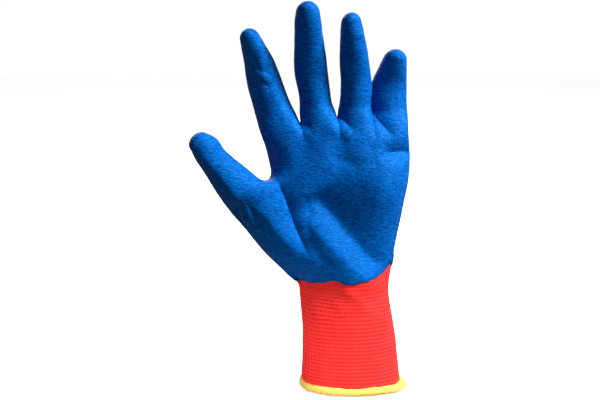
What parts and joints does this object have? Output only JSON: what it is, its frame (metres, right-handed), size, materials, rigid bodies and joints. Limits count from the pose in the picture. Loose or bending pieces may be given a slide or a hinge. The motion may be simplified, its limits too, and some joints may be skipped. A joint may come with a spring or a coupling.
{
  "type": "latex-coated work glove",
  "caption": "Left-hand knitted work glove in its open, worn shape, with an elastic cuff, an overlocked hem and a crinkle latex coating over the palm and fingertips.",
  "frame": {"origin": "centre of the wrist opening, in the plane of the hem's lower edge", "axes": "+Z from the cuff to the fingertips, palm towards -Y, thumb towards -X"},
  "size_m": [0.1333, 0.0544, 0.2424],
  "materials": {
    "knit": "matte knit",
    "latex": "crinkled, low sheen",
    "hem_thread": "matte thread"
  },
  "bodies": {
    "root": {"hand_body": "knit", "index_stall": "knit", "middle_stall": "knit", "ring_stall": "knit", "little_stall": "knit", "thumb_stall": "knit", "knit_cuff": "knit", "latex_coating": "latex", "overlock_hem": "hem_thread"}
  },
  "joints": []
}
